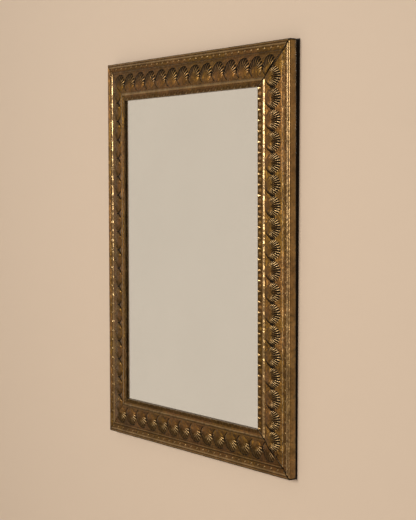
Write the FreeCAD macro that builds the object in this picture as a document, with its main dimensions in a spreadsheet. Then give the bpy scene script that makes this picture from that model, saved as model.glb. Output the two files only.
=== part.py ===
"""Wall mirror: a mitred wooden frame clad in embossed brass sheet, with its glass, back and hangers.

Millimetres. Every piece is drawn lying on its back on a bench: X runs along the piece, Y runs inwards
from the frame's outer edge (or up the mirror) and Z stands out from the wall. Its placement then hangs
it on the wall: X to the right, Y into the wall, Z up, with the origin on the wall behind the centre.
"""
import FreeCAD, Part
import Sketcher
import math
import os

SIZES = {
    # Frame as a whole
    "frame_width": 700,
    "frame_height": 900,
    "moulding_width": 92,
    "side_depth": 16,
    "mitre_gap": 0.2,
    "overrun": 1,
    # Brass sheet: its section from the back flange over the rim to the lip at the sight edge
    "sheet_thick": 0.6,
    "sheet_seat": 0.05,
    "flange_width": 12,
    "rim_width": 9,
    "rim_crown": 0.3,
    "channel_start": 10.4,
    "channel_end": 19.5,
    "channel_depth": 1.2,
    "ridge_start": 20.8,
    "ridge_end": 23,
    "ridge_rise": 1.3,
    "ridge_foot": 24.5,
    "ridge_foot_rise": 0.2,
    "ground_start": 26,
    "ground_end": 71,
    "ground_rise_start": 0.5,
    "ground_rise_end": 6.9,
    "bead_start": 73.2,
    "bead_start_rise": 6.3,
    "bead_end": 82.2,
    "bead_end_rise": 7,
    "bead_radius": 8,
    "sight_rise": 10.7,
    "lip_depth": 4.3,
    # Scallop shells embossed in the sheet
    "shell_pitch": 44.4,
    "shell_width": 40,
    "fan_length": 21,
    "shell_hub": 24.5,
    "shell_root": 0.3,
    "shell_shoulder": 2.4,
    "shell_crown": 4.2,
    "flute_valley": 0.9,
    "stile_shells": 18,
    "rail_shells": 14,
    "hollow_inset": 2.2,
    "hollow_crown": 3.2,
    # Wooden mouldings
    "rebate_start": 85.5,
    "shoulder_rise": 6.2,
    "step_start": 25.5,
    "key_leg": 60,
    "key_thick": 3,
    "key_depth": 9.5,
    # Glass and what holds it
    "glass_thick": 3,
    "glass_play": 1.5,
    "silver_thick": 0.2,
    "fillet_width": 6.4,
    "fillet_depth": 10,
    # Back panel
    "panel_thick": 4,
    "panel_inset": 64,
    "panel_screw_inset": 72,
    # Ring hangers
    "hanger_inset": 38,
    "hanger_height": 240,
    "strap_width": 12,
    "strap_length": 32,
    "strap_thick": 0.7,
    "ring_wire": 2.4,
    "ring_play": 0.05,
    "ring_bar": 16,
    "ring_corner": 3,
    "ring_bow": 11,
}

# Turn of each side about the wall's normal, and the sheet's names for its length and number of shells.
SIDES = {
    "bottom_rail": (0, "frame_width", "frame_height", "rail_shells"),
    "top_rail": (180, "frame_width", "frame_height", "rail_shells"),
    "left_stile": (90, "frame_height", "frame_width", "stile_shells"),
    "right_stile": (-90, "frame_height", "frame_width", "stile_shells"),
}
# Facets of what repeats: a shell's flutes, its round base and the hollow behind it.
FLUTES = 7
BASE_FACETS = 4
HOLLOW_FACETS = 4
# Facets of a hanger: its ring's wire, bow and each corner, and its strap's rolled eye and round end.
WIRE_FACETS = 6
BOW_FACETS = 8
CORNER_FACETS = 2
EYE_FACETS = 12
END_FACETS = 6
# Levels of a shell and of the hollow behind it: the lift over the ground, and the share of full size.
SHELL_LEVELS = (("-sizes.shell_root", 1), ("sizes.shell_shoulder", 0.84), ("sizes.shell_crown", 0.42))
HOLLOW_LEVELS = (("-2 * sizes.sheet_thick", 1), ("sizes.hollow_crown", 0.5))
X_AXIS = FreeCAD.Vector(1, 0, 0)
Y_AXIS = FreeCAD.Vector(0, 1, 0)
Z_AXIS = FreeCAD.Vector(0, 0, 1)
BENCH_TO_WALL = FreeCAD.Rotation(X_AXIS, 90)
# Turns a drawing so that its first axis runs inwards and its second out from the wall.
BENCH_SECTION = FreeCAD.Rotation(FreeCAD.Vector(1, 1, 1), 120)

# Distances along each side, from its middle, of the fasteners in that side.
CLADDING_PIN_SPOTS = {"rail": (-270, -90, 90, 270), "stile": (-360, -180, 0, 180, 360)}
FILLET_PIN_SPOTS = {"rail": (-120, 120), "stile": (-210, 0, 210)}
PANEL_SCREW_SPOTS = {"rail": (-150, 150), "stile": (-330, -110, 110, 330)}
# Distances of a strap's screws below its ring's bar.
STRAP_SCREW_DROPS = (13, 25)
# Sides of the square cut pins and of the round screws, how long a point is for its radius, and their sizes.
PIN_SIDES = 4
SCREW_SIDES = 6
TAPER = 3
CLADDING_PIN = {"head_radius": 2, "head_depth": 0.6, "shank_radius": 0.8, "length": 9}
FILLET_PIN = {"head_radius": 1, "head_depth": 0.5, "shank_radius": 0.7, "length": 15}
PANEL_SCREW = {"head_radius": 3.2, "head_depth": 1.8, "shank_radius": 1.5, "length": 16, "sunk": True}
STRAP_SCREW = {"head_radius": 2.8, "head_depth": 1.2, "shank_radius": 1.4, "length": 13}

# Heights over the wall, in the sheet's terms.
WOOD_BACK = "sizes.panel_thick"
RIM_FRONT = "(sizes.panel_thick + sizes.side_depth)"
GROUND_SLOPE = ("((sizes.ground_rise_end - sizes.ground_rise_start)"
                " / (sizes.ground_end - sizes.ground_start))")
GLASS_FRONT = f"({RIM_FRONT} + sizes.shoulder_rise)"
SILVER_FRONT = f"({GLASS_FRONT} - sizes.glass_thick)"
SILVER_BACK = f"({SILVER_FRONT} - sizes.silver_thick)"

doc = FreeCAD.newDocument("brass_mirror")


def make_sheet():
    """Put every driving dimension in a spreadsheet cell with its own alias."""
    sheet = doc.addObject("Spreadsheet::Sheet", "sizes")
    for row, (alias, value) in enumerate(SIZES.items(), start=1):
        sheet.set(f"A{row}", alias)
        sheet.set(f"B{row}", str(value))
        sheet.setAlias(f"B{row}", alias)
    doc.recompute()
    return sheet


sheet = make_sheet()


def number(expression):
    """Value of an expression over the spreadsheet."""
    return float(sheet.evalExpression(expression))


def new_body(label):
    body = doc.addObject("PartDesign::Body", "body_" + label)
    body.Label = label
    return body


def new_sketch(body, name, plane, lift="0", inward="0", along="0", tilt="0"):
    """Sketch on a plane of the body's own origin, moved and tilted by expressions."""
    sketch = body.newObject("Sketcher::SketchObject", f"{body.Name}_{name}")
    support = next(each for each in body.Origin.OriginFeatures if each.Role == plane)
    sketch.AttachmentSupport = [(support, "")]
    sketch.MapMode = "FlatFace"
    sketch.AttachmentOffset = FreeCAD.Placement(FreeCAD.Vector(), FreeCAD.Rotation(X_AXIS, number(tilt)))
    sketch.setExpression("AttachmentOffset.Base.x", along)
    sketch.setExpression("AttachmentOffset.Base.y", inward)
    sketch.setExpression("AttachmentOffset.Base.z", lift)
    if tilt != "0":
        sketch.setExpression("AttachmentOffset.Rotation.Angle", tilt)
    return sketch


def fix_point(sketch, side, end, corner):
    """Bind one end of a sketch line to a pair of expressions."""
    for kind, axis, expression in (("DistanceX", -2, corner[0]), ("DistanceY", -1, corner[1])):
        value = number(expression)
        if abs(value) < 1e-9:
            sketch.addConstraint(Sketcher.Constraint("PointOnObject", side, end, axis))
        else:
            index = sketch.addConstraint(Sketcher.Constraint(kind, -1, 1, side, end, value))
            sketch.setExpression(f"Constraints[{index}]", expression)


def arc_between(start, end, radius):
    """Arc from start to end that bulges to the left of the way there."""
    chord = end - start
    rise = math.sqrt(radius ** 2 - (chord.Length / 2) ** 2)
    right = FreeCAD.Vector(chord.y, -chord.x, 0).normalize()
    centre = start + chord * 0.5 + right * rise
    first = math.atan2(end.y - centre.y, end.x - centre.x)
    last = math.atan2(start.y - centre.y, start.x - centre.x)
    return Part.ArcOfCircle(Part.Circle(centre, Z_AXIS, radius), first, last)


def draw(sketch, corners, closed=True, arcs=None):
    """Join corners, each a pair of expressions; arcs gives the radius of the sides that are round."""
    arcs = arcs or {}
    spots = [FreeCAD.Vector(number(across), number(up), 0) for across, up in corners]
    count = len(spots) if closed else len(spots) - 1
    ends = []
    for index in range(count):
        start, end = spots[index], spots[(index + 1) % len(spots)]
        if index in arcs:
            side = sketch.addGeometry(arc_between(start, end, number(arcs[index])), False)
            ends.append((side, 2, 1))
        else:
            side = sketch.addGeometry(Part.LineSegment(start, end), False)
            ends.append((side, 1, 2))
    for index in range(count if closed else count - 1):
        side, _, tail = ends[index]
        following, head, _ = ends[(index + 1) % count]
        sketch.addConstraint(Sketcher.Constraint("Coincident", side, tail, following, head))
    for index, (side, head, tail) in enumerate(ends):
        fix_point(sketch, side, head, corners[index])
        if index in arcs:
            radius = sketch.addConstraint(Sketcher.Constraint("Radius", side, number(arcs[index])))
            sketch.setExpression(f"Constraints[{radius}]", arcs[index])
    if not closed:
        fix_point(sketch, ends[-1][0], ends[-1][2], corners[-1])


def rectangle(left, bottom, right, top):
    return [(left, bottom), (right, bottom), (right, top), (left, top)]


def pad(body, sketch, length, symmetric=False):
    feature = body.newObject("PartDesign::Pad", sketch.Name + "_pad")
    feature.Profile = sketch
    feature.SideType = "Symmetric" if symmetric else "One side"
    feature.setExpression("Length", length)
    return feature


def outer_edge(side):
    """Axis that a side's outer edge lies on, and its place there as an expression."""
    across = SIDES[side][2]
    sign = "" if side in ("top_rail", "right_stile") else "-"
    return "z" if across == "frame_height" else "x", f"{sign}sizes.{across} / 2"


def side_placement(side):
    """Place of a side's own bench on the wall."""
    axis, edge = outer_edge(side)
    base = FreeCAD.Vector()
    setattr(base, axis, number(edge))
    return FreeCAD.Placement(base, FreeCAD.Rotation(Y_AXIS, SIDES[side][0]) * BENCH_TO_WALL)


def hang(body, side=None):
    """Hang a piece on the wall, along one side of the frame or in the mirror's middle."""
    if side is None:
        body.Placement = FreeCAD.Placement(FreeCAD.Vector(), BENCH_TO_WALL)
        return body
    axis, edge = outer_edge(side)
    body.Placement = side_placement(side)
    body.setExpression(f"Placement.Base.{axis}", edge)
    return body


def cut_mitres(body, side, gap="0"):
    """Cut both ends of a strip at 45 degrees, a gap short of the mitre plane."""
    half = f"sizes.{SIDES[side][1]} / 2"
    clear = f"({half} + 2 * sizes.overrun)"
    inner = "(sizes.moulding_width + sizes.overrun)"
    sketch = new_sketch(body, "mitres", "XY_Plane")
    for sign in ("", "-"):
        draw(sketch, [
            (f"{sign}({half} - {gap} + sizes.overrun)", "-sizes.overrun"),
            (f"{sign}{clear}", "-sizes.overrun"),
            (f"{sign}{clear}", inner),
            (f"{sign}({half} - {gap} - {inner})", inner),
        ])
    pocket = body.newObject("PartDesign::Pocket", body.Name + "_mitre_cut")
    pocket.Profile = sketch
    pocket.Type = "ThroughAll"
    pocket.SideType = "Symmetric"
    pocket.Refine = False
    return pocket


def strip(label, side, section, gap="0"):
    """Mitred strip of one section, along one side of the frame."""
    body = new_body(label)
    sketch = new_sketch(body, "section", "YZ_Plane")
    draw(sketch, section)
    pad(body, sketch, f"sizes.{SIDES[side][1]} + 2 * sizes.overrun", symmetric=True)
    cut_mitres(body, side, gap)
    return hang(body, side)


def moulding_section():
    """Wooden section under the brass, from the outer back corner round to the rebate."""
    seat = "sizes.sheet_thick"
    below = f"({seat} + sizes.sheet_seat)"
    well_below = f"({seat} + 2 * sizes.sheet_seat)"
    channel = f"{RIM_FRONT} - sizes.channel_depth - {seat}"
    ground = f"{RIM_FRONT} + sizes.ground_rise_start - {below} / cos(atan({GROUND_SLOPE}))"
    return [
        (seat, WOOD_BACK),
        (seat, channel),
        ("sizes.step_start", channel),
        ("sizes.step_start", f"{ground} - (sizes.ground_start - sizes.step_start) * {GROUND_SLOPE}"),
        ("sizes.ground_end", f"{ground} + (sizes.ground_end - sizes.ground_start) * {GROUND_SLOPE}"),
        ("sizes.bead_start", f"{RIM_FRONT} + sizes.bead_start_rise - {well_below}"),
        ("sizes.bead_end", f"{RIM_FRONT} + sizes.bead_end_rise - {well_below}"),
        (f"sizes.moulding_width - {seat}", f"{RIM_FRONT} + sizes.sight_rise - 2 * {seat}"),
        (f"sizes.moulding_width - {seat}", GLASS_FRONT),
        ("sizes.rebate_start", GLASS_FRONT),
        ("sizes.rebate_start", WOOD_BACK),
    ]


def sheet_line():
    """Outer face of the brass, from the back flange round to the lip at the sight edge."""
    back = f"{WOOD_BACK} - sizes.sheet_thick"
    channel = f"{RIM_FRONT} - sizes.channel_depth"
    return [
        ("sizes.flange_width", back),
        ("0", back),
        ("0", RIM_FRONT),
        ("sizes.rim_width", f"{RIM_FRONT} + sizes.rim_crown"),
        ("sizes.channel_start", channel),
        ("sizes.channel_end", channel),
        ("sizes.ridge_start", f"{RIM_FRONT} + sizes.ridge_rise"),
        ("sizes.ridge_end", f"{RIM_FRONT} + sizes.ridge_rise"),
        ("sizes.ridge_foot", f"{RIM_FRONT} + sizes.ridge_foot_rise"),
        ("sizes.ground_start", f"{RIM_FRONT} + sizes.ground_rise_start"),
        ("sizes.ground_end", f"{RIM_FRONT} + sizes.ground_rise_end"),
        ("sizes.bead_start", f"{RIM_FRONT} + sizes.bead_start_rise"),
        ("sizes.bead_end", f"{RIM_FRONT} + sizes.bead_end_rise"),
        ("sizes.moulding_width", f"{RIM_FRONT} + sizes.sight_rise"),
        ("sizes.moulding_width", f"{RIM_FRONT} + sizes.sight_rise - sizes.lip_depth"),
    ]


# The side of the sheet's line that is the round bead.
BEAD_SIDE = 11


def bent_sheet(side):
    """Plain bent sheet of one thickness along one side, before its shells are raised."""
    line = doc.addObject("Sketcher::SketchObject", f"{side}_sheet_line")
    line.Placement = FreeCAD.Placement(FreeCAD.Vector(), BENCH_SECTION)
    draw(line, sheet_line(), closed=False, arcs={BEAD_SIDE: "sizes.bead_radius"})
    skin = doc.addObject("Part::Offset2D", f"{side}_sheet_section")
    skin.Source = line
    skin.Mode = "Skin"
    skin.Join = "Intersection"
    skin.Fill = True
    skin.setExpression("Value", "sizes.sheet_thick")
    bent = doc.addObject("Part::Extrusion", f"{side}_bent_sheet")
    bent.Base = skin
    bent.DirMode = "Custom"
    bent.Dir = X_AXIS
    bent.Solid = True
    bent.Symmetric = True
    bent.setExpression("LengthFwd", f"sizes.{SIDES[side][1]} + 2 * sizes.overrun")
    return bent


def shell_sketch(body, name, lift, first_shell):
    """Sketch parallel to the sloping ground, raised by lift along the ground's own normal."""
    slope = f"atan({GROUND_SLOPE})"
    return new_sketch(
        body, name, "XY_Plane", along=first_shell, tilt=slope,
        inward=f"sizes.ground_start - ({lift}) * sin({slope})",
        lift=f"{RIM_FRONT} + sizes.ground_rise_start + ({lift}) * cos({slope})")


def polar(reach, length, angle):
    """Point of a shell's outline at an angle about its hub, as a pair of expressions."""
    return (f"{reach} * cos({angle} deg)", f"sizes.shell_hub + {length} * sin({angle} deg)")


def draw_scallop(sketch, scale):
    """Outline of a shell: a fluted fan towards the outer edge, and a round base towards the glass."""
    fan_end = 2 * FLUTES
    half = f"sizes.shell_width / 2 * {scale}"
    fan = f"sizes.fan_length * {scale}"
    corners = []
    for step in range(fan_end + 1):
        in_valley = step % 2 == 0 and 0 < step < fan_end
        sink = " * sizes.flute_valley" if in_valley else ""
        corners.append(polar(half + sink, fan + sink, 360 - 90 * step / FLUTES))
    for step in range(1, BASE_FACETS):
        corners.append(polar(half, half, 180 - 180 * step / BASE_FACETS))
    draw(sketch, corners)


def draw_hollow(sketch, scale):
    """Plain outline of the hollow behind a shell."""
    reach = f"(sizes.shell_width / 2 - sizes.hollow_inset) * {scale}"
    draw(sketch, [polar(reach, reach, 360 * step / HOLLOW_FACETS) for step in range(HOLLOW_FACETS)])


def shell_loft(body, kind, name, outline, levels, first_shell):
    """Loft of one shell through its levels, each a lift over the ground and a share of its full size."""
    sketches = []
    for level, (lift, scale) in enumerate(levels):
        sketch = shell_sketch(body, f"{name}_{level}", lift, first_shell)
        outline(sketch, scale)
        sketches.append(sketch)
    feature = body.newObject(kind, f"{body.Name}_{name}")
    feature.Profile = sketches[0]
    feature.Sections = sketches[1:]
    feature.Ruled = True
    feature.Refine = False
    return feature


def repeat(body, feature, count, pitch):
    """Row of a feature along the body's X axis."""
    row = body.newObject("PartDesign::LinearPattern", feature.Name + "_row")
    row.Originals = [feature]
    row.Direction = (next(each for each in body.Origin.OriginFeatures if each.Role == "X_Axis"), [""])
    row.Mode = "Spacing"
    row.Refine = False
    row.setExpression("Offset", pitch)
    row.setExpression("Occurrences", count)
    body.Tip = row
    return row


def clad(side):
    """Brass sheet bent over one side, with its row of shells raised from behind, then mitred."""
    body = new_body("sheet_" + side)
    body.BaseFeature = bent_sheet(side)
    count = f"sizes.{SIDES[side][3]}"
    first_shell = f"-({count} - 1) / 2 * sizes.shell_pitch"
    shell = shell_loft(body, "PartDesign::AdditiveLoft", "shell", draw_scallop, SHELL_LEVELS, first_shell)
    repeat(body, shell, count, "sizes.shell_pitch")
    back = shell_loft(body, "PartDesign::SubtractiveLoft", "hollow", draw_hollow, HOLLOW_LEVELS, first_shell)
    repeat(body, back, count, "sizes.shell_pitch")
    cut_mitres(body, side, "sizes.mitre_gap")
    return hang(body, side)


def board(label, inset, back, thickness):
    """Rectangular board or pane, inset from the frame's outer edge on all sides."""
    body = new_body(label)
    across = f"(sizes.frame_width / 2 - {inset})"
    up = f"(sizes.frame_height / 2 - {inset})"
    sketch = new_sketch(body, "outline", "XY_Plane", lift=back)
    draw(sketch, rectangle(f"-{across}", f"-{up}", across, up))
    pad(body, sketch, thickness)
    return hang(body)


def mitre_keys():
    """Triangular feathers glued into a saw kerf across each corner of the wood."""
    body = new_body("mitre_keys")
    body.AllowCompound = True
    sketch = new_sketch(body, "feathers", "XY_Plane", lift=f"{WOOD_BACK} + sizes.key_depth")
    for right in ("", "-"):
        for top in ("", "-"):
            across = f"{right}(sizes.frame_width / 2 - sizes.sheet_thick)"
            up = f"{top}(sizes.frame_height / 2 - sizes.sheet_thick)"
            draw(sketch, [(across, up),
                          (f"{right}(sizes.frame_width / 2 - sizes.key_leg)", up),
                          (across, f"{top}(sizes.frame_height / 2 - sizes.key_leg)")])
    pad(body, sketch, "sizes.key_thick")
    return hang(body)


def pin_ring(sides, radius, height):
    """Outline of a pin with that many sides at one height."""
    turns = [2 * math.pi * (step + 0.5) / sides for step in range(sides + 1)]
    return Part.makePolygon([FreeCAD.Vector(radius * math.cos(turn), radius * math.sin(turn), height)
                             for turn in turns])


def pin_length(sides, start, end):
    """Straight or tapered length of a pin between two (radius, height) pairs."""
    return Part.makeLoft([pin_ring(sides, *start), pin_ring(sides, *end)], True, True)


def fastener(sides, head_radius, head_depth, shank_radius, length, sunk=False):
    """Pin or screw that points up Z, with its bearing face (or its sunk head's top) at height 0."""
    if sunk:
        head = pin_length(sides, (head_radius, 0), (shank_radius, head_depth))
        shank_start = head_depth
    else:
        head = pin_length(sides, (head_radius, -head_depth), (head_radius, 0))
        shank_start = 0
    taper_start = length - TAPER * shank_radius
    shank = pin_length(sides, (shank_radius, shank_start), (shank_radius, taper_start))
    taper = pin_length(sides, (shank_radius, taper_start), (shank_radius / TAPER, length))
    return head.fuse([shank, taper])


def group(label, solids):
    """One node of like fasteners, each a solid of its own."""
    feature = doc.addObject("Part::Feature", label)
    feature.Label = label
    feature.Shape = Part.makeCompound(solids)
    feature.Placement = FreeCAD.Placement()
    return feature


def along_sides(solid, spots, inset, height, turn=FreeCAD.Rotation()):
    """Copies of a solid at its spots along the four sides."""
    copies = []
    for side in SIDES:
        for spot in spots[side.split("_")[1]]:
            copy = solid.copy()
            seat = FreeCAD.Placement(FreeCAD.Vector(spot, number(inset), number(height)), turn)
            copy.Placement = side_placement(side) * seat
            copies.append(copy)
    return copies


def hanger_placement(sign):
    """Place of a hanger's bar on the back of one stile."""
    across = number("sizes.frame_width / 2 - sizes.hanger_inset")
    return FreeCAD.Placement(FreeCAD.Vector(sign * across, 0, number("sizes.hanger_height")), BENCH_TO_WALL)


def place_hanger(body, sign):
    body.Placement = hanger_placement(sign)
    side = "" if sign > 0 else "-"
    body.setExpression("Placement.Base.x", f"{side}(sizes.frame_width / 2 - sizes.hanger_inset)")
    body.setExpression("Placement.Base.z", "sizes.hanger_height")
    return body


LOOP_RADIUS = "(sizes.ring_wire / 2 + sizes.ring_play + sizes.strap_thick)"
BAR_HEIGHT = f"({WOOD_BACK} - {LOOP_RADIUS})"


def draw_round(sketch, sides, clear, height):
    """Many-sided round on the sketch's second axis, with its flats a clear distance from its middle."""
    corners = []
    for step in range(sides):
        turn = f"{360 * (step + 0.5) / sides} deg"
        reach = f"{clear} / cos({180 / sides} deg)"
        corners.append((f"{reach} * cos({turn})", f"{height} + {reach} * sin({turn})"))
    draw(sketch, corners)


def hanger_strap(label, sign):
    """Steel strap with a round end, rolled at the top into an eye for the ring's bar."""
    body = new_body(label)
    half = "sizes.strap_width / 2"
    turns = [f"{-180 * step / END_FACETS} deg" for step in range(END_FACETS + 1)]
    end = [(f"{half} * cos({turn})", f"{half} * (1 + sin({turn})) - sizes.strap_length") for turn in turns]
    plate = new_sketch(body, "plate", "XY_Plane", lift=f"{WOOD_BACK} - sizes.strap_thick")
    draw(plate, [(half, "0")] + end + [(f"-{half}", "0")])
    pad(body, plate, "sizes.strap_thick")
    roll = new_sketch(body, "roll", "YZ_Plane")
    draw_round(roll, EYE_FACETS, LOOP_RADIUS, BAR_HEIGHT)
    pad(body, roll, "sizes.strap_width", symmetric=True)
    eye = new_sketch(body, "eye", "YZ_Plane")
    draw_round(eye, EYE_FACETS, "(sizes.ring_wire / 2 + sizes.ring_play)", BAR_HEIGHT)
    bore = body.newObject("PartDesign::Pocket", body.Name + "_bore")
    bore.Profile = eye
    bore.Type = "ThroughAll"
    bore.SideType = "Symmetric"
    return place_hanger(body, sign)


def ring_path():
    """Middle of a ring's wire: from its bar's middle to the left, over the bow and back."""
    half = "sizes.ring_bar / 2"
    bends = []
    for step in range(CORNER_FACETS):
        turn = f"{270 - 90 * step / CORNER_FACETS} deg"
        bends.append((f"(-{half} + sizes.ring_corner * cos({turn}))",
                      f"sizes.ring_corner * (1 + sin({turn}))"))
    for step in range(BOW_FACETS + 1):
        turn = f"{180 - 180 * step / BOW_FACETS} deg"
        bends.append((f"sizes.ring_bow * cos({turn})", f"sizes.ring_corner + sizes.ring_bow * sin({turn})"))
    for across, up in reversed(bends[:CORNER_FACETS]):
        bends.append((f"-{across}", up))
    return [("0", "0")] + bends


def hanger_ring(label, sign):
    """Loose ring of round wire: a straight bar in the strap's eye, and a bow that takes the wall's hook."""
    body = new_body(label)
    path = new_sketch(body, "path", "XY_Plane", lift=BAR_HEIGHT)
    draw(path, ring_path())
    wire = new_sketch(body, "wire", "YZ_Plane")
    draw_round(wire, WIRE_FACETS, f"sizes.ring_wire / 2 * cos({180 / WIRE_FACETS} deg)", BAR_HEIGHT)
    ring = body.newObject("PartDesign::AdditivePipe", body.Name + "_bend")
    ring.Profile = wire
    ring.Spine = (path, [])
    ring.Transition = "Right corner"
    return place_hanger(body, sign)


def seated(label, blank, *tools):
    """Piece with the seats of its fasteners cut to their own shape."""
    tool = tools[0]
    if len(tools) > 1:
        tool = doc.addObject("Part::Compound", "fasteners_in_" + label)
        tool.Links = list(tools)
    piece = doc.addObject("Part::Cut", label)
    piece.Label = label
    piece.Base = blank
    piece.Tool = tool
    return piece


def fillet_section():
    """Wooden fillet behind the glass, with the back of its inner edge taken off."""
    outer = "sizes.rebate_start"
    inner = f"({outer} + sizes.fillet_width)"
    back = f"({SILVER_BACK} - sizes.fillet_depth)"
    return [
        (outer, back),
        (f"{inner} - sizes.fillet_width / 3", back),
        (inner, f"{back} + sizes.fillet_depth / 3"),
        (inner, SILVER_BACK),
        (outer, SILVER_BACK),
    ]


def fasteners():
    """The groups of pins and screws, by name."""
    flange_back = f"{WOOD_BACK} - sizes.sheet_thick"
    fillet_face = "sizes.rebate_start + sizes.fillet_width"
    fillet_middle = f"{SILVER_BACK} - sizes.fillet_depth / 2"
    strap_back = number(f"{WOOD_BACK} - sizes.strap_thick")
    strap_screw = fastener(SCREW_SIDES, **STRAP_SCREW)
    strap_screws = []
    for sign in (-1, 1):
        for drop in STRAP_SCREW_DROPS:
            copy = strap_screw.copy()
            copy.Placement = hanger_placement(sign) * FreeCAD.Placement(
                FreeCAD.Vector(0, -drop, strap_back), FreeCAD.Rotation())
            strap_screws.append(copy)
    into_rebate = FreeCAD.Rotation(X_AXIS, 90)
    return {
        "cladding_pins": group("cladding_pins", along_sides(
            fastener(PIN_SIDES, **CLADDING_PIN), CLADDING_PIN_SPOTS, "sizes.flange_width / 2", flange_back)),
        "fillet_pins": group("fillet_pins", along_sides(
            fastener(PIN_SIDES, **FILLET_PIN), FILLET_PIN_SPOTS, fillet_face, fillet_middle, into_rebate)),
        "panel_screws": group("panel_screws", along_sides(
            fastener(SCREW_SIDES, **PANEL_SCREW), PANEL_SCREW_SPOTS, "sizes.panel_screw_inset", "0")),
        "hanger_screws": group("hanger_screws", strap_screws),
    }


def build():
    """All the mirror's pieces."""
    loose = fasteners()
    keys = mitre_keys()
    pieces = list(loose.values()) + [keys]
    for side in SIDES:
        wood = strip("wood_" + side, side, moulding_section())
        pieces.append(seated("core_" + side, wood, keys, *loose.values()))
        pieces.append(seated("cladding_" + side, clad(side), loose["cladding_pins"]))
        bar = strip("bar_" + side, side, fillet_section())
        pieces.append(seated("glass_fillet_" + side, bar, loose["fillet_pins"]))
    pane_inset = "(sizes.rebate_start + sizes.glass_play)"
    pieces.append(board("mirror_glass", pane_inset, SILVER_FRONT, "sizes.glass_thick"))
    pieces.append(board("silvering", pane_inset, SILVER_BACK, "sizes.silver_thick"))
    panel = board("panel_blank", "sizes.panel_inset", "0", "sizes.panel_thick")
    pieces.append(seated("back_panel", panel, loose["panel_screws"]))
    for name, sign in (("left", -1), ("right", 1)):
        strap = hanger_strap("strap_blank_" + name, sign)
        pieces.append(seated("hanger_strap_" + name, strap, loose["hanger_screws"]))
        pieces.append(hanger_ring("hanger_ring_" + name, sign))
    doc.recompute()
    return pieces


def check(pieces):
    """Stop before anything is written if an object failed or a piece is empty or broken."""
    for each in doc.Objects:
        if {"Invalid", "Error"} & set(each.State):
            raise RuntimeError(f"{each.Name} failed: {each.State}")
    for piece in pieces:
        if piece.Shape.isNull() or not piece.Shape.isValid() or not piece.Shape.Solids:
            raise RuntimeError(f"{piece.Label} has no sound solid")


def middle_normal(face):
    low_u, high_u, low_v, high_v = face.ParameterRange
    return face.normalAt((low_u + high_u) / 2, (low_v + high_v) / 2)


def as_plane(face):
    """A lofted face that is flat as a true plane, and any other face as it is."""
    if isinstance(face.Surface, Part.Plane) or face.findPlane() is None:
        return face
    flat = Part.makeFace(face.Wires, "Part::FaceMakerBullseye").Faces[0]
    if middle_normal(flat).dot(middle_normal(face)) < 0:
        flat.reverse()
    return flat


def with_planes(shape):
    """The same solids with their flat faces as planes."""
    solids = [Part.Solid(Part.Shell([as_plane(face) for face in solid.Faces])) for solid in shape.Solids]
    return solids[0] if len(solids) == 1 else Part.makeCompound(solids)


def export(pieces):
    os.makedirs("parts", exist_ok=True)
    for piece in pieces:
        shape = with_planes(piece.Shape)
        if not shape.isValid():
            raise RuntimeError(f"{piece.Label} is not sound with flat faces")
        shape.exportStep(f"parts/{piece.Label}.step")
        print(f"{piece.Label}: {len(shape.Solids)} solid(s), {shape.Volume / 1000:.2f} cm3")


pieces = build()
check(pieces)
export(pieces)
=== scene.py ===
from collections import namedtuple
import math

import bmesh
import bpy
import numpy as np
from mathutils import Matrix, Vector


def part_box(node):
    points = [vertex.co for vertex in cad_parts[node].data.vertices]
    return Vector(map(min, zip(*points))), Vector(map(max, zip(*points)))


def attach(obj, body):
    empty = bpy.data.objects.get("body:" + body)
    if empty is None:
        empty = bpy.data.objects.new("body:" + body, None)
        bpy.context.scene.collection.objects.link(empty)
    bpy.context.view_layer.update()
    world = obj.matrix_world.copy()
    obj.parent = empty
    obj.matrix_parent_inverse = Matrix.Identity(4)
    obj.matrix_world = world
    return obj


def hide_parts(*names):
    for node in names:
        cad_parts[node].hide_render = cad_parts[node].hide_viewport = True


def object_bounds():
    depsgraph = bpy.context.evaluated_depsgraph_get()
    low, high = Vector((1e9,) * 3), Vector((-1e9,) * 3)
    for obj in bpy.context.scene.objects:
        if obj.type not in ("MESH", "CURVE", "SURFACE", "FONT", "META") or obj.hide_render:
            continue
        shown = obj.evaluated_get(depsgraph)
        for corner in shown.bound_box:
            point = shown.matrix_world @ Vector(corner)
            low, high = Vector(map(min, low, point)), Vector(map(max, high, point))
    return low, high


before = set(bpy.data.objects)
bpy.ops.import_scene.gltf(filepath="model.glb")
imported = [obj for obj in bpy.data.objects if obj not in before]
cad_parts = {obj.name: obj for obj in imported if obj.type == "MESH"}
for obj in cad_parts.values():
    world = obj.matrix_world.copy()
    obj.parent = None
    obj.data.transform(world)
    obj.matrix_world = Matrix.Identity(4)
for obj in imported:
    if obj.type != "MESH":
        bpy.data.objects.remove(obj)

CAD_BOX = [list(corner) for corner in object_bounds()]

# Sizes of the mirror, in millimetres; U runs inwards from a side's outer edge, OUT away from the wall
MM = 0.001
HALF_WIDTH = CAD_BOX[1][0] / MM
HALF_HEIGHT = CAD_BOX[1][2] / MM
MOULDING = 92.0
RIM_OUT = 20.0
WOOD_BACK = 4.0
SHEET = 0.6
FLANGE = 12.0
LIP_OUT = 26.4
PITCH = 44.4
HALF_PITCH = PITCH / 2
MITRE_GAP = 0.55
# How far from a mitre the sheet is dark, over what distance this fades, and its share at a tight mitre
JOINT_REACH, JOINT_FADE, TIGHT_JOINT = 2.66, 1.4, 0.35

# Zones made bright along a side, partly real wear and partly painted highlight, each by its middle, half
# width and amount
BEAD_WEAR_AND_HIGHLIGHT = (75.8, 3.6, 0.7)
EDGE_WEAR_AND_HIGHLIGHT = (BEAD_WEAR_AND_HIGHLIGHT, (8.2, 2.8, 0.5), (22.0, 1.4, 0.2), (2.2, 2.0, 0.4))
CHANNEL_WEAR_AND_HIGHLIGHT = (BEAD_WEAR_AND_HIGHLIGHT, (8.2, 2.8, 0.1), (17.5, 3.0, 0.5), (22.5, 2.6, 0.8))
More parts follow.
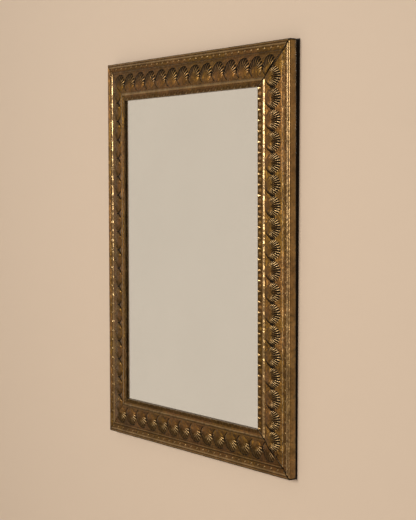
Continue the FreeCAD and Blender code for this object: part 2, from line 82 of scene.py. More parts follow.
# The groove round a shell, black with painted shade on the side that the light leaves: the turn from the
# outer side, in degrees, and the place along the shell's own hand from which it shows
LONG_GROOVE = (0.0, -8.0)
SHORT_GROOVE = (96.0, 4.0)
BOTH_GROOVES = (96.0, -30.0)

# A side's turn about the wall's normal, half length, distance of its outer edge, shells, plain tiles at each
# end and the way its shells overlap; how black its flutes are, partly tarnish and partly painted shade; how
# deep and wide (in degrees) its flutes are; how black its band of darts is, partly tarnish and partly painted
# shade;
# its grooves, black with painted shade; its zones of wear and painted highlight; and the ends at which its
# mitre is tight
Side = namedtuple("Side", (
    "turn", "half_length", "across", "shells", "plain", "hand", "patina", "flute_depth", "flute_angle",
    "band_patina", "groove", "rubbed", "tight_ends"))
RAIL = Side(
    turn=0, half_length=HALF_WIDTH, across=HALF_HEIGHT, shells=14, plain=1, hand=-1,
    patina=0.75, flute_depth=2.2, flute_angle=16.4, band_patina=0.5,
    groove=LONG_GROOVE, rubbed=EDGE_WEAR_AND_HIGHLIGHT, tight_ends=(-1,))
STILE = Side(
    turn=-90, half_length=HALF_HEIGHT, across=HALF_WIDTH, shells=18, plain=2, hand=-1,
    patina=1.0, flute_depth=1.8, flute_angle=11.4, band_patina=0.6,
    groove=SHORT_GROOVE, rubbed=EDGE_WEAR_AND_HIGHLIGHT, tight_ends=())
# The darkness of each side's flutes and band is partly painted shade, set by how light falls on that side:
# most on the top rail, least on the left stile, whose painted highlight lies on its channel and ridge
SIDES = {
    "bottom_rail": RAIL,
    "top_rail": RAIL._replace(turn=180, hand=1, patina=1.3, flute_depth=0.9, tight_ends=(1,)),
    "left_stile": STILE._replace(
        turn=90, patina=0.5, band_patina=0.3, groove=BOTH_GROOVES, rubbed=CHANNEL_WEAR_AND_HIGHLIGHT, tight_ends=(-1, 1)),
    "right_stile": STILE,
}


def side_matrix(side):
    """From a side's own bench (along, inwards, out from the wall) to its place on the wall."""
    rotation = Matrix.Rotation(math.radians(side.turn), 4, "Y")
    outer_edge = Matrix.Translation((0, 0, -side.across * MM))
    return rotation @ outer_edge @ Matrix.Rotation(math.radians(90), 4, "X")


# Node helpers
def feed(tree, socket, value):
    """Link a socket to another one, or give it a plain value."""
    if isinstance(value, bpy.types.NodeSocket):
        tree.links.new(value, socket)
    else:
        socket.default_value = value


def add(tree, kind, inputs=None, **settings):
    """Add a node, set its properties, and feed its inputs."""
    node = tree.nodes.new(kind)
    for name, value in settings.items():
        setattr(node, name, value)
    for key, value in (inputs or {}).items():
        feed(tree, node.inputs[key], value)
    return node


def math_node(tree, operation, first, second=0.0, clamp=False):
    node = add(tree, "ShaderNodeMath", {0: first, 1: second}, operation=operation, use_clamp=clamp)
    return node.outputs[0]


def mix_colour(tree, factor, first, second):
    return add(tree, "ShaderNodeMix", {0: factor, 6: first, 7: second}, data_type="RGBA").outputs[2]


def ramp(tree, factor, low, high, start=0.0, end=1.0):
    """Linear change from start to end as the factor goes from low to high, held outside."""
    return add(tree, "ShaderNodeMapRange", {0: factor, 1: low, 2: high, 3: start, 4: end}).outputs[0]


def noise(tree, vector, scale, detail=2.0, roughness=0.5):
    return add(tree, "ShaderNodeTexNoise", {
        "Vector": vector, "Scale": scale, "Detail": detail, "Roughness": roughness}).outputs[0]


def new_group(name, inputs, outputs):
    """Shader node group with named sockets; returns the tree and its input node."""
    tree = bpy.data.node_groups.new(name, "ShaderNodeTree")
    for label, kind, value in inputs:
        socket = tree.interface.new_socket(label, in_out="INPUT", socket_type=kind)
        if value is not None:
            socket.default_value = value
    for label, kind in outputs:
        tree.interface.new_socket(label, in_out="OUTPUT", socket_type=kind)
    return tree, add(tree, "NodeGroupInput")


def use_group(tree, group, inputs):
    return add(tree, "ShaderNodeGroup", inputs, node_tree=group).outputs


def new_material(name):
    material = bpy.data.materials.new(name)
    material.use_nodes = True
    tree = material.node_tree
    shader = tree.nodes["Principled BSDF"]
    place = add(tree, "ShaderNodeTexCoord").outputs["Object"]
    return material, tree, shader, place


def finish(tree, shader, **sockets):
    """Feed a shader's sockets, whose names are written with underscores."""
    for name, value in sockets.items():
        feed(tree, shader.inputs[name.replace("_", " ")], value)


# Effects that several finishes share
def make_tarnish_group():
    """Blotches and fine specks of tarnish: a slow mask, a fine mask and a bump height."""
    tree, inside = new_group(
        "tarnish",
        [("Vector", "NodeSocketVector", None), ("Blotch Scale", "NodeSocketFloat", 14.0),
         ("Speck Scale", "NodeSocketFloat", 420.0)],
        [("Blotches", "NodeSocketFloat"), ("Specks", "NodeSocketFloat"), ("Height", "NodeSocketFloat")])
    slow = noise(tree, inside.outputs[0], inside.outputs[1], 5.0, 0.62)
    fine = noise(tree, inside.outputs[0], inside.outputs[2], 3.0, 0.6)
    height = math_node(tree, "MULTIPLY", math_node(tree, "ADD", slow, fine), 0.5)
    add(tree, "NodeGroupOutput", {
        0: ramp(tree, slow, 0.34, 0.68), 1: ramp(tree, fine, 0.42, 0.66), 2: height})
    return tree


def make_grain_group():
    """Wood grain along the X of its vector: growth lines, pores and a bump height."""
    tree, inside = new_group(
        "wood grain",
        [("Vector", "NodeSocketVector", None), ("Line Scale", "NodeSocketFloat", 60.0),
         ("Stretch", "NodeSocketFloat", 0.05)],
        [("Lines", "NodeSocketFloat"), ("Pores", "NodeSocketFloat"), ("Height", "NodeSocketFloat")])
    stretch = add(tree, "ShaderNodeCombineXYZ", {0: inside.outputs[2], 1: 1.0, 2: 1.0}).outputs[0]
    drawn = add(tree, "ShaderNodeVectorMath", {0: inside.outputs[0], 1: stretch}, operation="MULTIPLY")
    along = drawn.outputs[0]
    lines = noise(tree, along, inside.outputs[1], 4.0, 0.6)
    pores = noise(tree, along, math_node(tree, "MULTIPLY", inside.outputs[1], 14.0), 2.0, 0.5)
    height = math_node(tree, "ADD", lines, math_node(tree, "MULTIPLY", pores, 0.6))
    add(tree, "NodeGroupOutput", {
        0: ramp(tree, lines, 0.33, 0.67), 1: ramp(tree, pores, 0.48, 0.7), 2: height})
    return tree


TARNISH = make_tarnish_group()
GRAIN = make_grain_group()


def bump(tree, height, strength, distance):
    return add(tree, "ShaderNodeBump", {
        "Height": height, "Strength": strength, "Distance": distance}).outputs[0]


def rgba(red, green, blue):
    return (red, green, blue, 1.0)


# Finishes: the embossed brass is dull and patchy, bright where worn and where highlight is painted, and black
# in its pockets with tarnish and painted shade
OLIVE_DARK, OLIVE_PALE = rgba(0.131, 0.061, 0.010), rgba(0.257, 0.136, 0.021)
ROSY_DARK, ROSY_PALE = rgba(0.141, 0.059, 0.013), rgba(0.269, 0.130, 0.034)
SPECK = rgba(0.050, 0.026, 0.006)
WORN_AND_HIGHLIGHT_COLOUR = rgba(0.42, 0.288, 0.135)
BLACKENED = rgba(0.010, 0.006, 0.003)
PATCH_SCALE = 17.0
PUNCH_SCALE, PUNCH_DEPTH = 480.0, 0.6
HAMMER_SCALE, HAMMER_DEPTH = 85.0, 3.0


def make_embossed_brass():
    """Old brass sheet: worn bright on its crests, with painted highlights; black in its pockets, partly
    tarnish and partly painted shade; punched on its ground.
    """
    material, tree, shader, place = new_material("aged embossed brass")
    wear, punched, joint, dark, flute, fluted, patina = (
        add(tree, "ShaderNodeAttribute", attribute_name=label).outputs["Fac"]
        for label in ("wear", "punched", "joint", "dark", "flute", "fluted", "patina"))
    marks = use_group(tree, TARNISH, {"Vector": place, "Blotch Scale": 34.0, "Speck Scale": 250.0})
    blotches, specks = marks["Blotches"], marks["Specks"]

    # Bright on the crests and on the ridges between the flutes, from wear and painted highlight; less so on a
    # side with more tarnish and painted shade
    wave = math_node(tree, "COSINE", math_node(tree, "MULTIPLY", flute, 2 * math.pi))
    valley = ramp(tree, wave, 1.0, -1.0)
    ridge = math_node(tree, "MULTIPLY", fluted, math_node(tree, "SUBTRACT", 1.0, valley))
    bright = ramp(tree, patina, 0.6, 1.4, 1.0, 0.1)
    rubbing = math_node(tree, "MULTIPLY", ramp(tree, ridge, 0.35, 0.80), bright)
    crest = math_node(tree, "MAXIMUM", ramp(tree, wear, 0.15, 0.75), rubbing)
    rubbed = math_node(tree, "MULTIPLY", crest, ramp(tree, blotches, 0.0, 1.0, 0.45, 1.0))

    # Black at the mitres' joints and in the pits; in the hollows and the flute pockets partly tarnish and
    # partly painted shade; in the grooves painted shade
    pocket = math_node(tree, "MULTIPLY", fluted, valley)
    blackened = math_node(tree, "MULTIPLY", ramp(tree, pocket, 0.30, 0.50), patina, clamp=True)
    hollow = ramp(tree, wear, -0.15, -0.80, 0.0, 0.8)
    for mark in (joint, dark, blackened):
        hollow = math_node(tree, "MAXIMUM", hollow, mark)

    olive = mix_colour(tree, blotches, OLIVE_DARK, OLIVE_PALE)
    rosy = mix_colour(tree, blotches, ROSY_DARK, ROSY_PALE)
    dull = mix_colour(tree, ramp(tree, noise(tree, place, PATCH_SCALE, 3.0), 0.42, 0.58), olive, rosy)
    dull = mix_colour(tree, math_node(tree, "MULTIPLY", specks, 0.75), dull, SPECK)
    colour = mix_colour(tree, hollow, mix_colour(tree, rubbed, dull, WORN_AND_HIGHLIGHT_COLOUR), BLACKENED)
    rough = ramp(tree, rubbed, 0.0, 1.0, 0.38, 0.12)
    rough = math_node(tree, "ADD", rough, math_node(tree, "MULTIPLY", hollow, 0.3))
    rough = math_node(tree, "ADD", rough, math_node(tree, "MULTIPLY", specks, 0.08))

    dots = add(tree, "ShaderNodeTexVoronoi", {"Vector": place, "Scale": PUNCH_SCALE}, feature="F1").outputs[0]
    punch = math_node(tree, "MULTIPLY", ramp(tree, dots, 0.0, 0.5), punched)
    height = math_node(tree, "ADD", marks["Height"], math_node(tree, "MULTIPLY", punch, PUNCH_DEPTH))
    hammering = noise(tree, place, HAMMER_SCALE, 1.0)
    height = math_node(tree, "ADD", height, math_node(tree, "MULTIPLY", hammering, HAMMER_DEPTH))
    finish(tree, shader, Base_Color=colour, Roughness=rough, Normal=bump(tree, height, 0.6, 0.0011))
    finish(tree, shader, Metallic=ramp(tree, hollow, 0.0, 1.0, 1.0, 0.0), Specular_IOR_Level=0.05)
    finish(tree, shader, Coat_Weight=ramp(tree, hollow, 0.0, 0.5, 0.2, 0.0), Coat_Roughness=0.2)
    return material


def make_plain_metal(name, clean, stained, roughness, blotch_scale):
    """Plain worn metal for pins, screws and hangers."""
    material, tree, shader, place = new_material(name)
    marks = use_group(tree, TARNISH, {"Vector": place, "Blotch Scale": blotch_scale, "Speck Scale": 900.0})
    stain = math_node(tree, "MULTIPLY", marks["Blotches"], 0.7)
    stain = math_node(tree, "ADD", stain, math_node(tree, "MULTIPLY", marks["Specks"], 0.3), clamp=True)
    rough = ramp(tree, stain, 0.0, 1.0, roughness, roughness + 0.3)
    finish(tree, shader, Base_Color=mix_colour(tree, stain, clean, stained), Roughness=rough, Metallic=1.0)
    finish(tree, shader, Normal=bump(tree, marks["Height"], 0.25, 0.0003))
    return material


def make_wood(name, pale, dark, upright, line_scale, polish):
    """Bare wood with its grain along X, or along Z where it stands upright."""
    material, tree, shader, place = new_material(name)
    turn = (0.0, math.radians(90.0), 0.0) if upright else (0.0, 0.0, 0.0)
    place = add(tree, "ShaderNodeMapping", {"Vector": place, "Rotation": turn}).outputs[0]
    grain = use_group(tree, GRAIN, {"Vector": place, "Line Scale": line_scale, "Stretch": 0.045})
    marks = use_group(tree, TARNISH, {"Vector": place, "Blotch Scale": 7.0, "Speck Scale": 300.0})
    colour = mix_colour(tree, grain["Lines"], pale, dark)
    pores = math_node(tree, "MULTIPLY", grain["Pores"], 0.4)
    colour = mix_colour(tree, pores, colour, rgba(0.07, 0.04, 0.02))
    stains = math_node(tree, "MULTIPLY", marks["Blotches"], 0.3)
    colour = mix_colour(tree, stains, colour, rgba(0.15, 0.09, 0.05))
    rough = ramp(tree, grain["Pores"], 0.0, 1.0, polish, polish + 0.2)
    finish(tree, shader, Base_Color=colour, Roughness=rough)
    finish(tree, shader, Normal=bump(tree, grain["Height"], 0.35, 0.0008))
    return material


def make_looking_glass():
    """Clear pane with a very thin, uneven film of dust."""
    material, tree, shader, place = new_material("looking glass")
    film = noise(tree, place, 9.0, 4.0, 0.6)
    finish(tree, shader, Base_Color=rgba(0.985, 0.992, 0.985), Transmission_Weight=1.0, IOR=1.5)
    finish(tree, shader, Roughness=ramp(tree, film, 0.35, 0.75, 0.0, 0.035))
    return material


def make_silvering():
    """Bright metal film behind the glass, a little uneven in tone."""
    material, tree, shader, place = new_material("silvering")
    tone = ramp(tree, noise(tree, place, 5.0, 3.0), 0.3, 0.7)
    colour = mix_colour(tree, tone, rgba(0.90, 0.895, 0.88), rgba(0.93, 0.925, 0.91))
    finish(tree, shader, Base_Color=colour, Metallic=1.0, Roughness=ramp(tree, tone, 0.0, 1.0, 0.01, 0.03))
    return material


FRAME_PALE, FRAME_DARK = rgba(0.46, 0.30, 0.16), rgba(0.29, 0.17, 0.08)
BRASS = make_embossed_brass()
PIN_BRASS = make_plain_metal(
    "tarnished brass pins", rgba(0.55, 0.38, 0.15), rgba(0.16, 0.10, 0.04), 0.35, 60.0)
STEEL = make_plain_metal("dull zinc steel", rgba(0.52, 0.51, 0.49), rgba(0.24, 0.20, 0.16), 0.32, 70.0)
RAIL_WOOD = make_wood("frame wood, level", FRAME_PALE, FRAME_DARK, False, 70.0, 0.55)
STILE_WOOD = make_wood("frame wood, upright", FRAME_PALE, FRAME_DARK, True, 70.0, 0.55)
PANEL_WOOD = make_wood("back panel wood", rgba(0.52, 0.36, 0.21), rgba(0.38, 0.24, 0.12), True, 32.0, 0.6)
GLASS = make_looking_glass()
SILVER = make_silvering()


# Embossed relief, as heights in millimetres over a side's plain section
def dome(distance):
    """Round boss of unit radius and height."""
    return np.sqrt(np.clip(1.0 - distance ** 2, 0.0, 1.0))


def soft_step(low, high, value):
    share = np.clip((value - low) / (high - low), 0.0, 1.0)
    return share * share * (3.0 - 2.0 * share)


def oval(along, inwards, centre, half_long, half_wide, slant):
    """Oval boss whose long axis is slanted from the along direction, in degrees."""
    turn = math.radians(slant)
    right, up = along - centre[0], inwards - centre[1]
    long = right * math.cos(turn) + up * math.sin(turn)
    wide = up * math.cos(turn) - right * math.sin(turn)
    return dome(np.hypot(long / half_long, wide / half_wide))


def within_pitch(along, pitch):
    """Place along one repeat of a pattern, from minus half to half its pitch."""
    return (along + pitch / 2) % pitch - pitch / 2


# The strip's plain section, as U and the height over the rim plane: the rounded edge and its groove, the
# outer roll, the channel, the ridge, the sloping ground, the bead, and the slope and crest at the sight edge
SECTION = (
    (0.0, -1.5), (0.5, -0.8), (1.2, -0.35), (2.3, 0.05), (3.2, 0.15), (4.0, 0.0), (4.6, -0.7), (5.2, -0.7),
    (5.8, 0.1), (6.6, 0.8), (7.6, 1.1), (8.6, 1.0), (10.2, 0.45),
    (11.6, -0.5), (12.4, -1.0), (18.6, -1.05), (19.6, -0.8),
    (20.8, 0.4), (22.0, 1.15), (23.2, 0.6), (24.4, 0.05),
    (26.0, 0.55), (71.0, 6.95),
    (72.0, 6.5), (73.0, 6.55), (75.4, 7.55), (77.0, 8.0), (79.2, 8.05), (81.2, 7.6), (82.3, 7.0),
    (83.2, 7.15), (86.0, 7.9), (88.6, 8.98), (90.2, 9.9), (91.0, 10.7), (92.0, 10.4))
CHANNEL_START, CHANNEL_END = 10.2, 19.4
RIDGE_MIDDLE = 22.0
# Stretches of U over which the punched ground comes in and ends
GROUND_COMES, GROUND_GOES = (24.5, 26.5), (70.2, 71.6)
BAND_START = 82.6


def plain_height(inwards):
    """Height of the plain section over the rim plane."""
    places, heights = zip(*SECTION)
    return np.interp(inwards, places, heights)


BEAD_MIDDLE, BEAD_LONG, BEAD_WIDE, BEAD_SLANT = 13.9, 3.6, 2.2, 30
BEAD_RISE, BEAD_WEAR = 1.3, 0.6
LEAF_MIDDLE, LEAF_LONG, LEAF_WIDE, LEAF_SLANT = 14.6, 4.6, 1.0, 58
LEAF_RISE = 0.6
LEAF_SPOTS = (5.6, 8.6, 11.4, 14.2, 17.0)
CHANNEL_PATINA = 0.35


def leaf_band(along, inwards):
    """Slanted oval beads with leaf strokes between them, in the outer channel, as shares of their heights."""
    spot = within_pitch(along, HALF_PITCH)
    bead = oval(spot, inwards, (0.0, BEAD_MIDDLE), BEAD_LONG, BEAD_WIDE, BEAD_SLANT)
    leaves = 0
    for centre in (-HALF_PITCH, 0.0, HALF_PITCH):
        for shift in LEAF_SPOTS:
            place = (centre + shift, LEAF_MIDDLE)
            leaves = np.maximum(leaves, oval(spot, inwards, place, LEAF_LONG, LEAF_WIDE, LEAF_SLANT))
    return bead, leaves


SHELL_MIDDLE = 50.0
SHELL_RADIUS = 20.8
SHELL_RISE = 3.7
# Powers by which a shell falls off towards its outer rim, towards its hub and at its free edge
RIM_FALL, HUB_FALL, EDGE_FALL = 3.4, 1.7, 7
# Where the free edge and the fall to the hub come in and end: turns from the outer side, and places along
EDGE_COMES, EDGE_GOES, EDGE_SIDE = (60, 100), (165, 135), (-4, 4)
HUB_COMES = (105, 150)
# The shares of the radius at which a shell gives way to the punched ground
SHELL_RIM = (0.98, 1.05)
FAN_HUB = 61.0
FAN_HALF_ANGLE = 74.0
# The flutes deepen with the distance from the hub, end at a share of the radius, and fade by parts of a flute
FLUTES_DEEPEN, FLUTES_END, FLUTES_FADE = (2.0, 21.0), 1.02, 0.9
GROOVE_AT, GROOVE_HALF, GROOVE_DEPTH = 1.03, 0.07, 0.4
GROOVE_GOES, GROOVE_TURN_FADE, GROOVE_PLACE_FADE = (172, 135), 24, 6
PIT_MIDDLE, PIT_LONG, PIT_WIDE, PIT_DEPTH = 1.5, 2.6, 8.5, 0.4
# How sunk a pit or a groove is where it starts to darken and where it is black; the grooves' black is painted
# shade
PIT_DARKENS, GROOVE_DARKENS = (0.32, 0.6), (0.15, 0.6)
DEEPEST = -0.38


def shell(along, inwards, side):
    """Round scallop: flutes fan out from a hub near the glass, and pits part it from its neighbours.

    It overlaps the next one, along or against the side by its hand. Gives its relief and its marks: the pits
    and grooves (the grooves' darkness is painted shade), the flute that each place lies on, how far it is
    fluted, and the distance from the shell's middle as a share of its radius.
    """
    back = inwards - SHELL_MIDDLE
    share = np.hypot(along, back) / SHELL_RADIUS
    turn = np.degrees(np.arctan2(np.abs(along), -back))
    ahead = side.hand * along
    edge = soft_step(*EDGE_COMES, turn) * soft_step(*EDGE_GOES, turn) * soft_step(*EDGE_SIDE, ahead)
    to_hub = soft_step(*HUB_COMES, turn)
    inside = np.clip(share, 0, 1)
    fall = inside ** RIM_FALL * (1 - to_hub) + inside ** HUB_FALL * to_hub
    body = SHELL_RISE * (1 - fall * (1 - edge) - inside ** EDGE_FALL * edge)

    flute = np.degrees(np.arctan2(along, FAN_HUB - inwards)) / side.flute_angle
    end = FAN_HALF_ANGLE / side.flute_angle
    from_hub = np.hypot(along, FAN_HUB - inwards)
    fluted = soft_step(*FLUTES_DEEPEN, from_hub) * (share < FLUTES_END)
    fluted = fluted * soft_step(end + FLUTES_FADE, end - FLUTES_FADE, np.abs(flute))
    valley = 0.5 - 0.5 * np.cos(2 * np.pi * flute)

    start, reach = side.groove
    groove = np.exp(-((share - GROOVE_AT) / GROOVE_HALF) ** 2) * soft_step(*GROOVE_GOES, turn)
    groove = groove * soft_step(start - GROOVE_TURN_FADE, start, turn)
    groove = groove * soft_step(reach - GROOVE_PLACE_FADE, reach, ahead)
    from_pit = ((np.abs(along) - HALF_PITCH) / PIT_LONG) ** 2 + ((back - PIT_MIDDLE) / PIT_WIDE) ** 2
    pit = np.exp(-from_pit)
    sunk = side.flute_depth * fluted * valley + GROOVE_DEPTH * groove + PIT_DEPTH * pit
    relief = np.maximum(body - sunk, DEEPEST)
    dark = np.maximum(soft_step(*PIT_DARKENS, pit), soft_step(*GROOVE_DARKENS, groove))
    return relief, dark, flute, fluted, share


DART_TIP, DART_FOOT, DART_HALF = 83.6, 91.0, 3.6
DART_START, DART_END, DART_WEAR = 7.5, 11.0, 0.45
DART_BEVEL, DART_GOES = 0.35, (90.7, 91.6)
TONGUE_MIDDLE, TONGUE_LONG, TONGUE_WIDE, TONGUE_RISE = 86.6, 4.6, 4.0, 0.2
TONGUE_CLEAN = 0.65


def tongue_band(along, inwards):
    """Small darts along the sight edge, with low rounded tongues between them; also the shares of both."""
    spot = within_pitch(along, HALF_PITCH)
    run = np.clip((inwards - DART_TIP) / (DART_FOOT - DART_TIP), 0.0, 1.0)
    face = DART_START + run * (DART_END - DART_START) - plain_height(inwards)
    dart = soft_step(0.0, DART_BEVEL, 1 - np.abs(spot) / np.maximum(DART_HALF * run, 0.01)) * (run > 0.02)
    dart = dart * (1 - soft_step(*DART_GOES, inwards))
    away = HALF_PITCH / 2 - np.abs(spot)
    tongue = dome(np.hypot(away / TONGUE_LONG, (inwards - TONGUE_MIDDLE) / TONGUE_WIDE))
    return np.maximum(np.maximum(face, 0.0) * dart, TONGUE_RISE * tongue), dart, tongue


def relief_height(along, inwards, side, with_shell):
    """Height over the rim plane and the sheet's marks, over one repeat."""
    in_channel = soft_step(CHANNEL_START, CHANNEL_START + 1, inwards)
    in_channel = in_channel * (1 - soft_step(CHANNEL_END - 1, CHANNEL_END, inwards))
    bead, leaves = leaf_band(along, inwards)
    in_band = 1.0 * (inwards > BAND_START)
    raised, darts, tongues = tongue_band(along, inwards)
    height = plain_height(inwards) + in_channel * np.maximum(BEAD_RISE * bead, LEAF_RISE * leaves)
    height = height + raised * in_band
    punched = soft_step(*GROUND_COMES, inwards) * (1 - soft_step(*GROUND_GOES, inwards))
    # The band of darts is black between its darts and tongues, partly tarnish and partly painted shade, by
    # side
    dark = side.band_patina * in_band * (1 - np.maximum(darts, TONGUE_CLEAN * tongues))
    dark = dark + CHANNEL_PATINA * in_channel * (1 - np.maximum(bead, leaves))
    marks = {"dark": dark, "flute": 0 * height, "fluted": 0 * height, "punched": punched,
             "wear": DART_WEAR * darts * in_band + BEAD_WEAR * bead * in_channel}
    if with_shell:
        relief, dark, flute, fluted, share = shell(along, inwards, side)
        height = height + punched * relief
        marks["dark"] = marks["dark"] + dark * punched
        marks["flute"] = flute
        marks["fluted"] = fluted * punched
        marks["punched"] = punched * soft_step(*SHELL_RIM, share)
    return height, marks


def blurred(values, reach):
    """Mean over a square patch; the pattern repeats along and is held at its two edges."""
    total = np.zeros_like(values)
    padded = np.pad(values, ((reach, reach), (0, 0)), mode="edge")
    for row in range(2 * reach + 1):
        for column in range(-reach, reach + 1):
            total += np.roll(padded[row:row + values.shape[0]], column, axis=1)
    return total / (2 * reach + 1) ** 2


# One repeat of a strip as a closed tube of quads; the front's rows are given by stretches of U and counts
COLUMNS = 46
FRONT_STEPS = (
    (0.0, 10.4, 14), (10.4, 19.6, 8), (19.6, 26.0, 8), (26.0, 71.0, 46), (71.0, 82.6, 14), (82.6, 92.0, 9))
# The side's bend at the flange, the top of the side, and the top of the lip over the rim plane
BEND, SIDE_TOP, LIP_TOP = 0.5, RIM_OUT - 2.1, 9.6
# The sheet's hidden face, as U and the height over the rim plane, from the lip to the side
HIDDEN_SECTION = (
    (MOULDING - SHEET, 9.55), (82.2, 6.35), (73.2, 5.65), (71.0, 6.3), (25.6, -0.15), (25.6, -1.75),
    (SHEET, -1.75))
# Wear by height over the surroundings: each reach in grid steps, and the wear for each millimetre; where it
# falls below nought the sunk place gets painted shade
WEAR_AND_SHADE_BY_HEIGHT = ((2, 0.65 / 0.9), (5, 0.2 / 2.0))
OUTER_WEAR = 0.6
# The side return's wear, partly painted reflection of the wall beside it; the lip's wear; and the painted
# shade on the sheet's hidden face
RETURN_WEAR_AND_REFLECTION, LIP_WEAR, HIDDEN_SHADE = 0.42, 0.4, 0.15


def front_rows():
    rows = []
    for start, end, count in FRONT_STEPS:
        rows += list(np.linspace(start, end, count, endpoint=False))
    return np.array(rows + [MOULDING])


def side_rows():
    """Section points of the flange and the side return, up to the rim."""
    back = WOOD_BACK - SHEET
    return [(FLANGE, back), (BEND, back), (0.0, back + BEND), (0.0, RIM_OUT / 2), (0.0, SIDE_TOP)]


def inner_rows():
    """Section points of the lip and of the sheet's hidden face, back to the flange."""
    lip = [(MOULDING, RIM_OUT + LIP_TOP), (MOULDING, LIP_OUT), (MOULDING - SHEET, LIP_OUT)]
    hidden = [(inwards, RIM_OUT + out) for inwards, out in HIDDEN_SECTION]
    return lip + hidden + [(SHEET, WOOD_BACK), (FLANGE, WOOD_BACK)]


def tile_wear_and_shading(height, rows, side):
    """How far each place of a repeat is rubbed or sunk, from its height and its side's zones of wear and
    painted highlight; the sunk places get painted shade.
    """
    core = height[:, :-1]
    wear = sum(amount * (core - blurred(core, reach)) for reach, amount in WEAR_AND_SHADE_BY_HEIGHT)
    wear = np.column_stack([wear, wear[:, :1]])
    wear = wear * np.where(rows < RIDGE_MIDDLE, OUTER_WEAR, 1.0)[:, None]
    for middle, half, amount in side.rubbed:
        wear = wear + amount * dome((rows - middle) / half)[:, None]
    return wear


def tube_faces(loops, wide):
    """Quads of a tube whose closed loops of rows each have that many points."""
    faces = []
    for row in range(loops):
        following = (row + 1) % loops
        for column in range(wide - 1):
            faces.append((row * wide + column, row * wide + column + 1,
                          following * wide + column + 1, following * wide + column))
    return faces


def tile_mesh(name, side, with_shell):
    """Mesh of one repeat of a side, with or without its shell, and with its marks as attributes."""
    alongs = np.linspace(-HALF_PITCH, HALF_PITCH, COLUMNS + 1)
    rows = front_rows()
    grid_along, grid_in = np.meshgrid(alongs, rows)
    height, marks = relief_height(grid_along, grid_in, side, with_shell)
    marks["wear"] = np.clip(tile_wear_and_shading(height, rows, side) + marks["wear"], -1, 1)
    points = []
    values = {label: [] for label in marks}

    def add_rows(section, **plain):
        for inwards, out in section:
            points.extend((along, inwards, out) for along in alongs)
            for label in marks:
                values[label].extend([plain.get(label, 0.0)] * len(alongs))

    add_rows(side_rows(), wear=RETURN_WEAR_AND_REFLECTION)
    for row, inwards in enumerate(rows):
        points.extend((along, inwards, RIM_OUT + out) for along, out in zip(alongs, height[row]))
        for label in marks:
            values[label].extend(marks[label][row])
    lip = inner_rows()
    add_rows(lip[:2], wear=LIP_WEAR)
    add_rows(lip[2:], dark=HIDDEN_SHADE)
    mesh = bpy.data.meshes.new(name)
    faces = tube_faces(len(points) // len(alongs), len(alongs))
    mesh.from_pydata([Vector(point) * MM for point in points], [], faces)
    mesh.materials.append(BRASS)
    for label, numbers in values.items():
        layer = mesh.attributes.new(label, "FLOAT", "POINT")
        layer.data.foreach_set("value", np.array(numbers, dtype=np.float32))
    return mesh


# Rows of repeats by Geometry Nodes
def new_tree(name, inputs):
    tree = bpy.data.node_groups.new(name, "GeometryNodeTree")
    tree.interface.new_socket("Geometry", in_out="INPUT", socket_type="NodeSocketGeometry")
    for label, kind in inputs:
        tree.interface.new_socket(label, in_out="INPUT", socket_type=kind)
    tree.interface.new_socket("Geometry", in_out="OUTPUT", socket_type="NodeSocketGeometry")
    return tree, add(tree, "NodeGroupInput").outputs


def make_strip_tree():
    """Row of shell tiles with plain tiles at both ends, slightly dented all over."""
    tree, given = new_tree("embossed strip", [
        ("Shell Tile", "NodeSocketObject"), ("Plain Tile", "NodeSocketObject"), ("Shells", "NodeSocketInt"),
        ("Plain Tiles", "NodeSocketInt"), ("Pitch", "NodeSocketFloat"), ("Dent Depth", "NodeSocketFloat"),
        ("Dent Scale", "NodeSocketFloat"), ("Patina", "NodeSocketFloat"), ("Finish", "NodeSocketMaterial")])
    half = math_node(tree, "MULTIPLY", math_node(tree, "SUBTRACT", given["Shells"], 1.0), 0.5)
    first = math_node(tree, "MULTIPLY", half, given["Pitch"])
    beyond = math_node(tree, "ADD", first, given["Pitch"])
    back = math_node(tree, "MULTIPLY", given["Pitch"], -1.0)
    parts = []
    for tile, count, start, step in (
            ("Shell Tile", "Shells", math_node(tree, "MULTIPLY", first, -1.0), given["Pitch"]),
            ("Plain Tile", "Plain Tiles", beyond, given["Pitch"]),
            ("Plain Tile", "Plain Tiles", math_node(tree, "MULTIPLY", beyond, -1.0), back)):
        shape = add(tree, "GeometryNodeObjectInfo", {"Object": given[tile]}).outputs["Geometry"]
        begin = add(tree, "ShaderNodeCombineXYZ", {0: start}).outputs[0]
        offset = add(tree, "ShaderNodeCombineXYZ", {0: step}).outputs[0]
        line = add(tree, "GeometryNodeMeshLine", {
            "Count": given[count], "Start Location": begin, "Offset": offset}, mode="OFFSET").outputs[0]
        row = add(tree, "GeometryNodeInstanceOnPoints", {"Points": line, "Instance": shape})
        parts.append(row.outputs[0])
    join = add(tree, "GeometryNodeJoinGeometry")
    for part in parts:
        tree.links.new(part, join.inputs[0])
    real = add(tree, "GeometryNodeRealizeInstances", {"Geometry": join.outputs[0]}).outputs[0]
    whole = add(tree, "GeometryNodeMergeByDistance", {"Geometry": real, "Distance": 0.01 * MM}).outputs[0]
    dents = add(tree, "ShaderNodeTexNoise", {"Scale": given["Dent Scale"], "Detail": 2.0}).outputs[0]
    depth = math_node(tree, "MULTIPLY", math_node(tree, "SUBTRACT", dents, 0.5), given["Dent Depth"])
    outward = add(tree, "GeometryNodeInputNormal").outputs[0]
    move = add(tree, "ShaderNodeVectorMath", {0: outward, "Scale": depth}, operation="SCALE").outputs[0]
    dented = add(tree, "GeometryNodeSetPosition", {"Geometry": whole, "Offset": move}).outputs[0]
    marked = add(tree, "GeometryNodeStoreNamedAttribute", {
        "Geometry": dented, "Name": "patina", "Value": given["Patina"]}, data_type="FLOAT", domain="POINT")
    done = add(tree, "GeometryNodeSetMaterial", {"Geometry": marked.outputs[0], "Material": given["Finish"]})
    add(tree, "NodeGroupOutput", {0: done.outputs[0]})
    return tree


